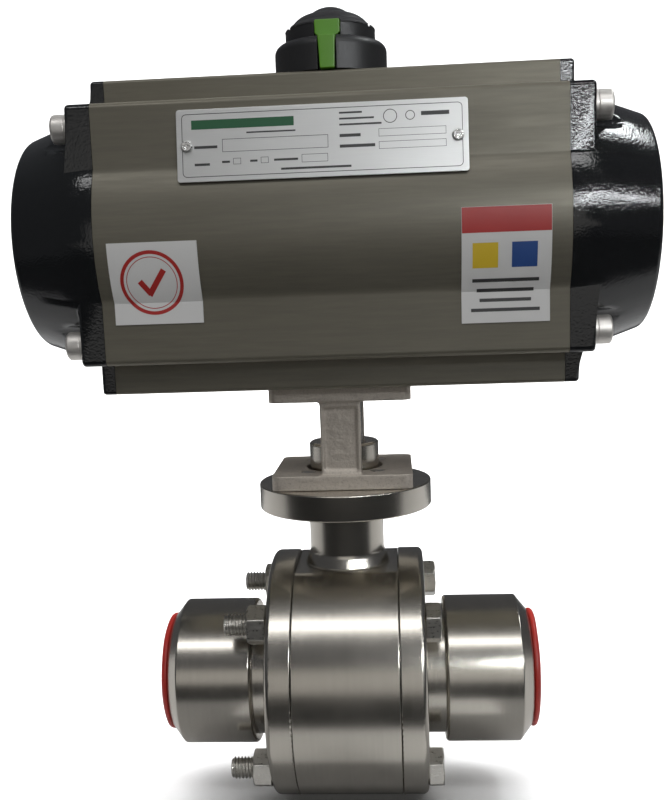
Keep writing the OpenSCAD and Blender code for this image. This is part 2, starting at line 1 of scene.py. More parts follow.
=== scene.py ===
"""Pneumatic actuated ball valve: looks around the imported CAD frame."""
import json
import math

import bmesh
import bpy
from mathutils import Matrix, Vector, noise
from mathutils.bvhtree import BVHTree


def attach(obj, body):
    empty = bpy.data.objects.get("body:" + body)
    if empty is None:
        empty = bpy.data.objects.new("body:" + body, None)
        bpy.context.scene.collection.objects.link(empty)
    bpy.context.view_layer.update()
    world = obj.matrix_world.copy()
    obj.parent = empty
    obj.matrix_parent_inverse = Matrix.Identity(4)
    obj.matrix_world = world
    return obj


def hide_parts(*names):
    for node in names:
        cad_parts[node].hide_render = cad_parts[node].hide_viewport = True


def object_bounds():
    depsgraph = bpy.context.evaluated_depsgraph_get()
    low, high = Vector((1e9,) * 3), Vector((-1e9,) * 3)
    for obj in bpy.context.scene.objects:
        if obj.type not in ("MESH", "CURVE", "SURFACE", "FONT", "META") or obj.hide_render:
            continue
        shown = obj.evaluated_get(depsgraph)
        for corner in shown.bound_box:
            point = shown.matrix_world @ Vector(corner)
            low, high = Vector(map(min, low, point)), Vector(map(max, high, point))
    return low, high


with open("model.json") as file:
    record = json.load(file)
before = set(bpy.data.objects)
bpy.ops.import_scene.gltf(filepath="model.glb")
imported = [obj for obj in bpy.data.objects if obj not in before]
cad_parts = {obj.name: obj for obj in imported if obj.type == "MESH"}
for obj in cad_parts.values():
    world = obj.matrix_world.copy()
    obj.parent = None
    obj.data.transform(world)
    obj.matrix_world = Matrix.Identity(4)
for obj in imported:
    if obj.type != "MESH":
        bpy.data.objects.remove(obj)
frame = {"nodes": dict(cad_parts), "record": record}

CAD_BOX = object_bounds()
NODES = frame["nodes"]
MM = 0.001

# ------------------------------------------------------------------ camera
SENSOR_MM = 36
LENS_MM = 45.072
CAM_POS_MM = (20.55, -374.9, 147.5)
PITCH, YAW, ROLL = (math.radians(a) for a in (8.617, 3.767, -2.031))


def make_camera():
    """The view that the object is built from, with its roll and a small upward shift."""
    level = math.cos(PITCH)
    forward = Vector((-math.sin(YAW) * level, math.cos(YAW) * level, -math.sin(PITCH)))
    right = Vector((math.cos(YAW), math.sin(YAW), 0))
    up = right.cross(forward)
    right, up = (math.cos(ROLL) * right + math.sin(ROLL) * up,
                 -math.sin(ROLL) * right + math.cos(ROLL) * up)
    cam = bpy.data.objects.new("camera", bpy.data.cameras.new("camera"))
    cam.data.sensor_width = SENSOR_MM
    cam.data.lens = LENS_MM
    cam.data.shift_y = 0.05
    cam.data.clip_start = 0.01
    cam.data.clip_end = 50
    m = Matrix((right, up, -forward)).transposed().to_4x4()
    m.translation = Vector(CAM_POS_MM) * MM
    cam.matrix_world = m
    bpy.context.scene.collection.objects.link(cam)
    bpy.context.scene.camera = cam


make_camera()


# ------------------------------------------------------------------ node helpers
class Mat:
    """A material with a Principled shader and short calls for its node tree."""

    def __init__(self, name, **settings):
        self.m = bpy.data.materials.new(name)
        self.m.use_nodes = True
        self.t = self.m.node_tree
        self.t.nodes.clear()
        self.out = self.t.nodes.new("ShaderNodeOutputMaterial")
        self.b = self.t.nodes.new("ShaderNodeBsdfPrincipled")
        self.t.links.new(self.b.outputs[0], self.out.inputs[0])
        for k, v in settings.items():
            self.set(k.replace("_", " "), v)

    def set(self, socket, value):
        names = {s.name.lower(): s for s in self.b.inputs}
        s = names[socket.lower()]
        if hasattr(value, "is_output"):
            self.t.links.new(value, s)
        elif hasattr(value, "__len__"):
            s.default_value = (*value, 1.0) if len(value) == 3 and s.type == "RGBA" else value
        else:
            s.default_value = value

    def node(self, kind, inputs=(), **attrs):
        n = self.t.nodes.new("ShaderNode" + kind)
        for k, v in attrs.items():
            setattr(n, k, v)
        for k, v in dict(inputs).items():
            s = n.inputs[k]
            if hasattr(v, "is_output"):
                self.t.links.new(v, s)
            else:
                s.default_value = v
        return n

    def coord(self):
        return self.node("TexCoord").outputs["Object"]

    def math(self, op, a, b=0.0):
        return self.node("Math", {0: a, 1: b}, operation=op).outputs[0]

    def xyz(self, v):
        n = self.node("SeparateXYZ", {0: v})
        return n.outputs[0], n.outputs[1], n.outputs[2]

    def vec(self, x, y, z):
        return self.node("CombineXYZ", {0: x, 1: y, 2: z}).outputs[0]

    def scaled(self, v, s):
        return self.node("VectorMath", {0: v, 1: s}, operation="MULTIPLY").outputs[0]

    def noise(self, v, scale, detail=3.0, rough=0.5):
        n = self.node("TexNoise", {"Vector": v, "Scale": scale, "Detail": detail, "Roughness": rough})
        return n.outputs["Fac"]

    def voronoi(self, v, scale):
        return self.node("TexVoronoi", {"Vector": v, "Scale": scale}).outputs["Distance"]

    def remap(self, v, a, b, c, d):
        n = self.node("MapRange", {"Value": v, "From Min": a, "From Max": b, "To Min": c, "To Max": d})
        return n.outputs[0]

    def mix(self, f, a, b):
        n = self.node("Mix", data_type="RGBA")
        for i, v in ((0, f), (6, a), (7, b)):
            if hasattr(v, "is_output"):
                self.t.links.new(v, n.inputs[i])
            else:
                n.inputs[i].default_value = v if i == 0 else (*v, 1.0)
        return n.outputs[2]

    def bump(self, height, strength, distance, under=None):
        ins = {"Height": height, "Strength": strength, "Distance": distance}
        if under is not None:
            ins["Normal"] = under
        return self.node("Bump", ins).outputs[0]

    def tangent(self, axis):
        return self.node("Tangent", direction_type="RADIAL", axis=axis).outputs[0]


def about(mat, axis):
    """Coordinates of a turned surface: along its axis, its radius, and the way round it at 30 mm."""
    x, y, z = mat.xyz(mat.coord())
    u, v, w = {"X": (x, y, z), "Z": (z, x, y)}[axis]
    r = mat.math("SQRT", mat.math("ADD", mat.math("MULTIPLY", v, v), mat.math("MULTIPLY", w, w)))
    a = mat.math("MULTIPLY", mat.math("ARCTAN2", w, v), 0.03)
    return u, r, a


def shade(colour, k):
    return tuple(k * c for c in colour)


# ------------------------------------------------------------------ materials
def anodised():
    """Drawn and anodised aluminium: long grain along the housing and a slow change of tone."""
    m = Mat("anodised_housing", metallic=0.35, specular_ior_level=0.45)
    c = m.coord()
    grain = m.noise(m.scaled(c, (60, 900, 900)), 1.0, 4, 0.6)
    cloud = m.noise(c, 22, 4, 0.55)
    tone = m.mix(cloud, (0.150, 0.139, 0.107), (0.185, 0.172, 0.134))
    tone = m.mix(m.remap(grain, 0.35, 0.65, 0.0, 0.35), tone, (0.115, 0.108, 0.086))
    m.set("base color", tone)
    m.set("roughness", m.remap(m.math("ADD", grain, cloud), 0.7, 1.3, 0.36, 0.48))
    fine = m.noise(c, 2600, 2, 0.6)
    n = m.bump(grain, 0.12, 0.00006)
    m.set("normal", m.bump(fine, 0.10, 0.00005, n))
    return m.m


def black_coat():
    """Thick black powder coat with orange peel and a little dust."""
    m = Mat("black_coat", base_color=(0.011, 0.012, 0.013), specular_ior_level=0.6)
    c = m.coord()
    peel = m.noise(c, 1250, 2, 0.5)
    large = m.noise(c, 260, 2, 0.5)
    dust = m.noise(c, 3200, 2, 0.7)
    spots = m.remap(dust, 0.62, 0.75, 0, 0.5)
    m.set("base color", m.mix(spots, (0.010, 0.011, 0.012), (0.035, 0.037, 0.038)))
    m.set("roughness", m.remap(large, 0.3, 0.7, 0.10, 0.15))
    n = m.bump(large, 0.04, 0.0004)
    m.set("normal", m.bump(peel, 0.3, 0.00025, n))
    return m.m


def turned(name, axis):
    """Stainless steel off the lathe: fine grooves round the axis and a stretched highlight."""
    base, rough = (0.56, 0.53, 0.475), 0.21
    m = Mat(name, metallic=1.0)
    u, r, a = about(m, axis)
    v = m.vec(u, r, m.math("MULTIPLY", a, 0.02))
    fine = m.noise(v, 5200, 3, 0.65)
    mid = m.noise(v, 900, 3, 0.6)
    cloud = m.noise(m.coord(), 38, 4, 0.6)
    tone = m.mix(m.remap(m.math("ADD", mid, cloud), 0.6, 1.4, 0, 1), shade(base, 0.88), base)
    m.set("base color", m.mix(m.remap(fine, 0.28, 0.5, 0.22, 0), tone, shade(base, 0.72)))
    m.set("roughness", m.remap(m.math("ADD", fine, cloud), 0.6, 1.4, rough - 0.03, rough + 0.05))
    m.set("anisotropic", 0.5)
    m.set("tangent", m.tangent(axis))
    n = m.bump(mid, 0.07, 0.00006)
    m.set("normal", m.bump(fine, 0.12, 0.00002, n))
    return m.m


def cast_steel():
    """Rough investment casting: lumps, pits and darker grit."""
    m = Mat("cast_stainless", metallic=0.55)
    c = m.coord()
    lump = m.noise(c, 240, 4, 0.6)
    grit = m.noise(c, 1500, 3, 0.7)
    pits = m.voronoi(c, 620)
    cloud = m.noise(c, 45, 3, 0.5)
    tone = m.mix(cloud, (0.42, 0.375, 0.325), (0.56, 0.51, 0.45))
    m.set("base color", m.mix(m.remap(grit, 0.3, 0.5, 0.45, 0), tone, (0.2, 0.175, 0.15)))
    m.set("roughness", m.remap(grit, 0.3, 0.7, 0.42, 0.62))
    n = m.bump(lump, 0.5, 0.0004)
    n = m.bump(pits, 0.25, 0.0002, n)
    m.set("normal", m.bump(grit, 0.35, 0.00015, n))
    return m.m


def fastener(name, base=(0.62, 0.60, 0.56), rough=0.3, metallic=1.0):
    """Plated, drawn or die-cast metal with fine handling marks."""
    m = Mat(name, metallic=metallic)
    c = m.coord()
    g = m.noise(c, 700, 4, 0.6)
    s = m.noise(m.scaled(c, (300, 4000, 4000)), 1.0, 2, 0.6)
    m.set("base color", m.mix(g, shade(base, 0.8), base))
    m.set("roughness", m.remap(m.math("ADD", g, s), 0.7, 1.3, rough - 0.06, rough + 0.12))
    n = m.bump(s, 0.15, 0.00005)
    m.set("normal", m.bump(g, 0.2, 0.0001, n))
    return m.m


def rubber():
    m = Mat("black_rubber", roughness=0.6)
    g = m.noise(m.coord(), 1500, 2)
    m.set("base color", m.mix(g, (0.012, 0.012, 0.012), (0.03, 0.03, 0.03)))
    m.set("normal", m.bump(g, 0.2, 0.0001))
    return m.m


def moulded(name, lo, hi, rough, grain=1400, depth=0.00008, **extra):
    """Moulded plastic, film or print, between two tones."""
    m = Mat(name, **extra)
    c = m.coord()
    g = m.noise(c, grain, 3, 0.6)
    k = m.noise(c, 60, 3)
    m.set("base color", m.mix(k, lo, hi))
    m.set("roughness", m.remap(g, 0.3, 0.7, rough - 0.06, rough + 0.08))
    m.set("normal", m.bump(g, 0.3, depth))
    return m.m


def brushed_plate():
    """Aluminium sheet brushed along its length."""
    m = Mat("plate_aluminium", metallic=0.75)
    c = m.coord()
    s = m.noise(m.scaled(c, (120, 5200, 5200)), 1.0, 4, 0.65)
    k = m.noise(c, 30, 3)
    m.set("base color", m.mix(m.math("MULTIPLY", s, k), (0.62, 0.62, 0.61), (0.80, 0.80, 0.79)))
    m.set("roughness", m.remap(s, 0.3, 0.7, 0.34, 0.46))
    m.set("normal", m.bump(s, 0.12, 0.00003))
    return m.m


M = dict(
    anodised_housing=anodised(),
    black_coat=black_coat(),
    black_rubber=rubber(),
    stainless_fastener=fastener("stainless_fastener"),
    cap_screw_metal=fastener("cap_screw_metal", (0.80, 0.77, 0.73), 0.42, 0.75),
    plate_aluminium=brushed_plate(),
    plated_screw=fastener("plated_screw", (0.75, 0.75, 0.74), 0.22),
    label_film=moulded("label_film", (0.70, 0.70, 0.69), (0.78, 0.78, 0.77), 0.38, 900, 0.00002),
    bearing_plastic=moulded("bearing_plastic", (0.72, 0.70, 0.62), (0.8, 0.78, 0.7), 0.5),
    plated_steel=fastener("plated_steel", (0.45, 0.44, 0.42), 0.35),
    cast_aluminium=fastener("cast_aluminium", (0.66, 0.66, 0.65), 0.42),
    indicator_black=moulded("indicator_black", (0.014, 0.014, 0.015), (0.024, 0.024, 0.026), 0.42),
    indicator_green=moulded("indicator_green", (0.10, 0.30, 0.018), (0.13, 0.36, 0.022), 0.38),
    cast_stainless=cast_steel(),
    turned_x=turned("turned_about_pipe", "X"),
    turned_z=turned("turned_about_stem", "Z"),
    polished_stainless=fastener("polished_stainless", (0.75, 0.75, 0.74), 0.12),
    white_seat=moulded("white_seat", (0.76, 0.76, 0.73), (0.83, 0.83, 0.8), 0.45),
    red_plastic=moulded("red_plastic", (0.33, 0.018, 0.012), (0.42, 0.024, 0.016), 0.4, 500, 0.0001,
                        subsurface_weight=0.15, subsurface_radius=(0.004, 0.001, 0.0006)),
    print_dark=moulded("print_dark", (0.03, 0.03, 0.03), (0.06, 0.06, 0.06), 0.45, 3000, 0.00001),
    print_green=moulded("print_green", (0.012, 0.10, 0.04), (0.018, 0.13, 0.05), 0.4, 3000, 0.00001),
    print_red=moulded("print_red", (0.42, 0.02, 0.018), (0.5, 0.03, 0.025), 0.4, 3000, 0.00001),
    print_yellow=moulded("print_yellow", (0.72, 0.5, 0.03), (0.8, 0.58, 0.04), 0.4, 3000, 0.00001),
    print_blue=moulded("print_blue", (0.02, 0.07, 0.26), (0.03, 0.09, 0.32), 0.4, 3000, 0.00001),
)

ABOUT_STEM = ("drive_coupling", "gland_ring", "gland_nut", "stem", "valve_body")
for sub in frame["record"]["subparts"]:
    node = sub["node"]
    mat = M.get(sub["material_slot"]) or M["turned_z" if node in ABOUT_STEM else "turned_x"]
    for s in NODES[node].material_slots:
        s.material = mat

# ------------------------------------------------------------------ geometry helpers
BODY_OF = {n: b for b, ns in frame["record"]["behaviour"]["bodies"].items() for n in ns}
SLOT_OF = {s["node"]: s["material_slot"] for s in frame["record"]["subparts"]}


def add_piece(name, mesh, body, mats, replaces=None):
    """A mesh piece that rides on a body and materials."""
    obj = bpy.data.objects.new(name, mesh)
    bpy.context.scene.collection.objects.link(obj)
    for m in mats:
        mesh.materials.append(m)
    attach(obj, body)
    if replaces:
        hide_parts(replaces)
    return obj


def smooth_by_angle(bm, degrees=32):
    """Smooth faces that meet flatter than an angle, and sharp edges elsewhere."""
    limit = math.radians(degrees)
    for f in bm.faces:
        f.smooth = True
    for e in bm.edges:
        e.smooth = len(e.link_faces) == 2 and e.calc_face_angle(0) < limit


def node_bmesh(node):
    """A clean copy of a CAD node's mesh: welded, with flat areas joined into single faces."""
    bm = bmesh.new()
    bm.from_mesh(NODES[node].data)
    bmesh.ops.remove_doubles(bm, verts=bm.verts, dist=3e-6)
    bmesh.ops.dissolve_limit(bm, angle_limit=math.radians(0.4), verts=bm.verts, edges=bm.edges,
                             use_dissolve_boundaries=False)
    return bm


def sharp_edges(bm, degrees=28):
    return [e for e in bm.edges if len(e.link_faces) == 2 and e.calc_face_angle(0) > math.radians(degrees)]


def bevel_edges(bm, width, segments=3, degrees=28):
    """Rounds sharp edges. A point that a sliver face throws off the surface returns to its neighbours."""
    surface = BVHTree.FromBMesh(bm)
    bmesh.ops.bevel(bm, geom=sharp_edges(bm, degrees), offset=width, offset_type="OFFSET",
                    segments=segments, profile=0.6, affect="EDGES", clamp_overlap=False)
    bm.verts.ensure_lookup_table()
    stray = {v.index for v in bm.verts if surface.find_nearest(v.co)[3] > 0.5 * width}
    for i in sorted(stray):
        v = bm.verts[i]
        near = [e.other_vert(v).co for e in v.link_edges if e.other_vert(v).index not in stray]
        v.co = sum(near, Vector()) / len(near) if near else surface.find_nearest(v.co)[0]


def refined(node, width, segments=3, mats=None, degrees=28, assign=None, edit=None):
    """Replaces a CAD node with a copy whose sharp edges are rounded, width in mm."""
    bm = node_bmesh(node)
    if width:
        bevel_edges(bm, width * MM, segments, degrees)
    if edit:
        edit(bm)
    smooth_by_angle(bm)
    if assign:
        for f in bm.faces:
            f.material_index = assign(f)
    mesh = bpy.data.meshes.new(node + "_finished")
    bm.to_mesh(mesh)
    bm.free()
    obj = add_piece(node + "_finished", mesh, BODY_OF[node],
                    mats or [M[SLOT_OF[node]]], node)
    mod = obj.modifiers.new("flat faces stay flat", "WEIGHTED_NORMAL")
    mod.keep_sharp = True


def quads(bm, a, b, flip):
    """Joins two closed rows of points with four-sided faces."""
    for j in range(len(a)):
        k = (j + 1) % len(a)
        bm.faces.new((b[j], b[k], a[k], a[j]) if flip else (a[j], a[k], b[k], b[j]))


M8_R, M8_PITCH = 4, 1.25


def m8_thread(bm, place, u0, u1, turn):
    """An M8 thread from u0 to its free end u1. place(u, v, w) gives the point in metres."""
    around, steps = 40, 10
    sign = 1 if u1 > u0 else -1
    length = abs(u1 - u0)
    n = int(length / M8_PITCH * steps)
    depth = 0.6 * M8_PITCH
    end_r = M8_R - 1.15 * depth
    rows = []
    for i in range(n + 1):
        s = length * i / n
        row = []
        for j in range(around):
            a = 2 * math.pi * j / around
            t = (s / M8_PITCH - sign * j / around + turn) % 1.0
            tooth = min(1.0, max(0.0, (abs(2 * t - 1) - 0.12) / 0.7))
            rad = min(M8_R - depth * tooth, end_r + (length - s))
            row.append(bm.verts.new(place(u0 + sign * s, rad * math.cos(a), rad * math.sin(a))))
        rows.append(row)
    for a, b in zip(rows, rows[1:]):
        quads(bm, a, b, sign < 0)
    tip, end = bm.verts.new(place(u1 + sign * 0.15, 0, 0)), rows[-1]
    for j in range(around):
        k = (j + 1) % around
        bm.faces.new((end[j], end[k], tip) if sign > 0 else (tip, end[k], end[j]))


def cut_off(bm, point, normal):
    """Removes what lies on the positive side of a plane and closes the cut."""
    cut = bmesh.ops.bisect_plane(bm, geom=bm.verts[:] + bm.edges[:] + bm.faces[:], plane_co=point,
                                 plane_no=normal, clear_outer=True, dist=1e-7)
    edges = [e for e in cut["geom_cut"] if isinstance(e, bmesh.types.BMEdge)]
    bmesh.ops.holes_fill(bm, edges=edges)


# ------------------------------------------------------------------ housing and caps
CAP_JOINT_X = 78.5
CAP_ROUND = 1.3


def cap_edges(bm):
    """Rounds the outer edges of a cap; the edges at the joint with the housing stay tight."""
    outer = [e for e in sharp_edges(bm) if min(abs(v.co.x) for v in e.verts) > CAP_JOINT_X * MM]
    bmesh.ops.bevel(bm, geom=outer, offset=CAP_ROUND * MM, offset_type="OFFSET", segments=5,
                    profile=0.5, affect="EDGES", clamp_overlap=False)


refined("actuator_body", 0.35, 3)
for side in ("left", "right"):
    refined(side + "_end_cap", 0, edit=cap_edges)
refined("cap_screws", 0.45, 4, mats=[M["cap_screw_metal"]])
refined("cap_washers", 0.2, 2, mats=[M["cap_screw_metal"]])
refined("stop_nuts", 0.3, 3)
refined("nameplate", 0.18, 2)
refined("nameplate_screws", 0.12, 2)
refined("left_label", 0)
refined("right_label", 0)


STOP_X, STOP_Z = 18, 140.5
STOP_THREAD_Y, STOP_END_Y = 45, 56.8


def stop_bolt_threads(bm):
    cut_off(bm, Vector((0, STOP_THREAD_Y, 0)) * MM, Vector((0, 1, 0)))
    for x in (-STOP_X, STOP_X):
        m8_thread(bm, lambda u, v, w, x=x: Vector((x + v, u, STOP_Z + w)) * MM,
                  STOP_THREAD_Y, STOP_END_Y, 0.2)


refined("stop_bolts", 0, edit=stop_bolt_threads)

# ------------------------------------------------------------------ indicator
refined("indicator_base", 0.35, 3)
refined("indicator_cap", 0.45, 3, degrees=24)
refined("indicator_insert", 0.55, 2)

# ------------------------------------------------------------------ valve
NECK_FOOT_Z = 43.4


def body_finish(f):
    """The disc is turned about the pipe, the neck and its flange about the stem."""
    return 1 if f.calc_center_median().z > NECK_FOOT_Z * MM else 0


refined("valve_body", 0.35, 3, mats=[M["turned_x"], M["turned_z"]], assign=body_finish)
for side in ("left", "right"):
    refined(side + "_end_connector", 0.4, 3, mats=[M["turned_x"]])
refined("drive_coupling", 0.4, 3, mats=[M["turned_z"]])
refined("flange_screws", 0.25, 2)
refined("bracket_screws", 0.15, 2)
refined("body_nuts", 0.3, 3)
BOLT_YZ = 39 * math.sqrt(0.5)
BOLT_THREAD_X, BOLT_END_X = -33, -44.1


def body_bolt_threads(bm):
    cut_off(bm, Vector((BOLT_THREAD_X, 0, 0)) * MM, Vector((-1, 0, 0)))
    places = [(y, z) for y in (-BOLT_YZ, BOLT_YZ) for z in (-BOLT_YZ, BOLT_YZ)]
    for i, (y, z) in enumerate(places, 1):
        m8_thread(bm, lambda u, v, w, y=y, z=z: Vector((u, y + v, z + w)) * MM,
                  BOLT_THREAD_X, BOLT_END_X, 0.23 * i)


refined("body_bolts", 0.3, 3, edit=body_bolt_threads)


# ------------------------------------------------------------------ cast bracket
def evaluated_mesh(obj):
    bpy.context.view_layer.update()
    return bpy.data.meshes.new_from_object(obj.evaluated_get(bpy.context.evaluated_depsgraph_get()))


def cast_bracket():
    """The bracket with rounded edges and a cast surface: lumps, grit and a few pits."""
    src = NODES["bracket"].data.copy()
    bm = bmesh.new()
    bm.from_mesh(src)
    bmesh.ops.remove_doubles(bm, verts=bm.verts, dist=3e-6)
    bm.to_mesh(src)
    bm.free()
    tmp = bpy.data.objects.new("bracket_tmp", src)
    bpy.context.scene.collection.objects.link(tmp)
    rm = tmp.modifiers.new("r", "REMESH")
    rm.mode = "VOXEL"
    rm.voxel_size = 0.38 * MM
    sm = tmp.modifiers.new("s", "SMOOTH")
    sm.factor = 0.5
    sm.iterations = 5
    mesh = evaluated_mesh(tmp)
    bpy.data.objects.remove(tmp)
    co = []
    for v in mesh.vertices:
        p = v.co / MM
        lump = noise.fractal(p * 0.35, 1.0, 2.0, 3) * 0.05
        grit = noise.noise(p * 1.6) * 0.035
        pit = max(0.0, noise.noise(p * 0.9 + Vector((7, 3, 1))) - 0.45) * 0.35
        co.extend(v.co + v.normal * ((lump + grit - pit - 0.06) * MM))
    mesh.vertices.foreach_set("co", co)
    mesh.update()
    for poly in mesh.polygons:
        poly.use_smooth = True
    mesh.materials.clear()
    add_piece("bracket_cast", mesh, "housing", [M["cast_stainless"]], "bracket")


cast_bracket()


# ------------------------------------------------------------------ end plugs
SKIRT_R, END_X = 19, 68.3


def plug(side, seed):
    """Soft moulded plug: skirt in the bore, an uneven rim and a slightly domed face."""
    sign = -1 if side == "left" else 1
    prof = [(54.5, 17.2), (54.4, 18.7), (60, 18.9), (68.25, 18.92), (68.4, 20.5), (68.42, 21.9),
            (68.75, 22.35), (69.4, 22.5), (70.1, 22.4), (70.6, 22.0), (70.95, 21.2), (71.1, 20.2),
            (71.12, 17.5), (71.2, 14), (71.28, 9), (71.35, 4.5), (71.4, 2.6), (71.25, 2.2), (71.2, 1.2)]
    n = 96
    bm = bmesh.new()
    rows = []
    for u, r in prof:
        on_rim, on_face = r > SKIRT_R, u > END_X + 0.7
        row = []
        for j in range(n):
            ca, sa = math.cos(2 * math.pi * j / n), math.sin(2 * math.pi * j / n)
            wave = noise.noise(Vector((ca * 1.3, sa * 1.3, seed))) * 0.35 * max(0.0, (u - END_X) / 3)
            dent = noise.noise(Vector((r * ca * 0.06, r * sa * 0.06, seed + 9))) * 0.25
            x = u - (0.25 + dent if on_face else 0.0)
            rr = r - 0.1 + wave if on_rim else r
            row.append(bm.verts.new(Vector((sign * x, rr * ca, rr * sa)) * MM))
        rows.append(row)
    for a, b in zip(rows, rows[1:]):
        quads(bm, a, b, sign < 0)
    for row, flip in ((rows[-1], sign < 0), (rows[0], sign > 0)):
        bm.faces.new(row if not flip else list(reversed(row)))
    bmesh.ops.recalc_face_normals(bm, faces=bm.faces)
    smooth_by_angle(bm, 50)
    mesh = bpy.data.meshes.new(side + "_plug_moulded")
    bm.to_mesh(mesh)
    bm.free()
    add_piece(side + "_plug_moulded", mesh, side + "_plug", [M["red_plastic"]],
              side + "_end_plug")


plug("left", 3.1)
plug("right", 8.4)

# ------------------------------------------------------------------ printing on plate and labels
# the plate leans back by 7.6 degrees and is 23.5 mm high about z 194.6
TILT = math.radians(90 - 7.6)
PLATE_TOP = Vector((0, -39.45, 194.6 + 23.5 / 2))
# a side label wraps the barrel down to where the flat lower wall begins
BARREL_R, BARREL_Z, FLAT_Y = 45.2, 167, 39.4


def plate_point(x, v, h=0.835):
    """x along the plate, v down from its top edge, h out from its back face, in mm."""
    out = Vector((0, -math.sin(TILT), math.cos(TILT)))
    down = Vector((0, -math.cos(TILT), -math.sin(TILT)))
    return (PLATE_TOP + Vector((x, 0, 0)) + down * v + out * h) * MM


def label_point(x, z, h=0.48):
    """A point on the face of a side label, x and z in mm, h out from the housing."""
    up = z - BARREL_Z
    crease = math.sqrt(BARREL_R ** 2 - FLAT_Y ** 2)
    y = math.sqrt((BARREL_R + h) ** 2 - up * up) if up > -crease else FLAT_Y + h
    return Vector((x, -max(y, FLAT_Y + h), z)) * MM


def strip(bm, place, a, b, c, d, rows=1):
    """A flat patch between a..b in the first and c..d in the second direction."""
    prev = None
    for i in range(rows + 1):
        v = c + (d - c) * i / rows
        cur = [bm.verts.new(place(a, v)), bm.verts.new(place(b, v))]
        if prev:
            bm.faces.new((prev[0], prev[1], cur[1], cur[0]))
        prev = cur


def close_ring(bm, pairs):
    for a, b in zip(pairs, pairs[1:] + pairs[:1]):
        bm.faces.new((a[0], b[0], b[1], a[1]))


def frame_line(bm, place, x0, x1, v0, v1, w, corner=0.0, seg=6):
    """A closed line of width w round a rectangle, with rounded corners where corner is given."""
    pairs = []
    for cx, cv, a0 in ((x1 - corner, v0 + corner, -90), (x1 - corner, v1 - corner, 0),
                       (x0 + corner, v1 - corner, 90), (x0 + corner, v0 + corner, 180)):
        for i in range(seg + 1 if corner else 1):
            a = math.radians(a0 + 90 * i / seg if corner else a0 + 45)
            reach = [corner - d if corner else -d * math.sqrt(2) for d in (0.0, w)]
            pairs.append([bm.verts.new(place(cx + r * math.cos(a), cv + r * math.sin(a))) for r in reach])
    close_ring(bm, pairs)


def ring_patch(bm, place, cx, cz, r0, r1, n=64):
    """A flat ring between two radii."""
    pairs = []
    for j in range(n):
        ca, sa = math.cos(2 * math.pi * j / n), math.sin(2 * math.pi * j / n)
        pairs.append([bm.verts.new(place(cx + r * ca, cz + r * sa)) for r in (r0, r1)])
    close_ring(bm, pairs)


def band(bm, place, p, q, w, n=10):
    """A straight stroke of width w from p to q."""
    d = Vector((q[0] - p[0], q[1] - p[1])).normalized() * (w / 2)
    prev = None
    for i in range(n + 1):
        x, v = p[0] + (q[0] - p[0]) * i / n, p[1] + (q[1] - p[1]) * i / n
        cur = [bm.verts.new(place(x - d[1], v + d[0])), bm.verts.new(place(x + d[1], v - d[0]))]
        if prev:
            bm.faces.new((prev[0], prev[1], cur[1], cur[0]))
        prev = cur


def finish_print(name, bm, mat):
    """Makes one print colour a piece on the housing, with that print's own material."""
    bmesh.ops.recalc_face_normals(bm, faces=bm.faces)
    mesh = bpy.data.meshes.new(name)
    bm.to_mesh(mesh)
    bm.free()
    add_piece(name, mesh, "housing", [mat])


dark = bmesh.new()
frame_line(dark, plate_point, -47.2, 43.7, 1.5, 22.0, 0.22, 1.5)
frame_line(dark, plate_point, -34, 0.5, 10.0, 14.2, 0.16)
for x0, x1, v0, v1 in ((-30.5, -28, 16.3, 18.3), (-21.5, -19, 16.3, 18.3), (-8.2, 0.3, 16.0, 18.6),
                       (16.8, 38.4, 8.9, 11.4), (16.8, 38.4, 13.0, 15.4)):
    frame_line(dark, plate_point, x0, x1, v0, v1, 0.14)
for x0, x1, v, t in (
        (-43.2, -35.6, 12.4, 0.9), (-43.2, -38.2, 18.0, 0.8), (-34.2, -31.6, 17.4, 0.7),
        (-25, -22.6, 17.4, 0.7), (-17.2, -9.4, 17.4, 0.7), (4.2, 11.0, 10.6, 1.0),
        (4.2, 15.6, 14.0, 1.0), (4.2, 11.6, 3.3, 0.6), (4.2, 15.4, 5.2, 0.6),
        (4.2, 17.8, 7.1, 0.6), (-15, 7.8, 20.4, 0.7), (-26, -10, 8.2, 0.5), (30.5, 39.5, 4.6, 1.3)):
    strip(dark, plate_point, x0, x1, v - t / 2, v + t / 2)
ring_patch(dark, plate_point, 20.6, 5.0, 2.0, 2.25, 40)
ring_patch(dark, plate_point, 27.0, 5.0, 1.3, 1.55, 32)
finish_print("nameplate_print_dark", dark, M["print_dark"])
green = bmesh.new()
strip(green, plate_point, -44, -10.5, 3.6, 6.6)
finish_print("nameplate_print_green", green, M["print_green"])

red = bmesh.new()
ring_patch(red, label_point, -59.6, 151.3, 9.4, 10.6)
ring_patch(red, label_point, -59.6, 151.3, 8.3, 8.55)
band(red, label_point, (-63.6, 151.9), (-60.4, 147.6), 1.9)
band(red, label_point, (-61.0, 147.2), (-55.2, 155.4), 1.9)
strip(red, label_point, 42.62, 71.18, 163.4, 171.5, 8)
finish_print("label_print_red", red, M["print_red"])
grey = bmesh.new()
for x0, x1, z in ((46, 67.6, 148.2), (47.5, 66, 145.0), (48.4, 65.2, 141.8), (45.6, 68, 138.6)):
    strip(grey, label_point, x0, x1, z - 0.55, z + 0.55, 2)
finish_print("label_print_dark", grey, M["print_dark"])
yellow = bmesh.new()
strip(yellow, label_point, 46, 54.2, 152.2, 160.2, 8)
finish_print("label_print_yellow", yellow, M["print_yellow"])
blue = bmesh.new()
strip(blue, label_point, 58.6, 66.8, 152.2, 160.2, 8)
finish_print("label_print_blue", blue, M["print_blue"])

# ------------------------------------------------------------------ stage
def link(name, data):
    o = bpy.data.objects.new(name, data)
    bpy.context.scene.collection.objects.link(o)
    return o


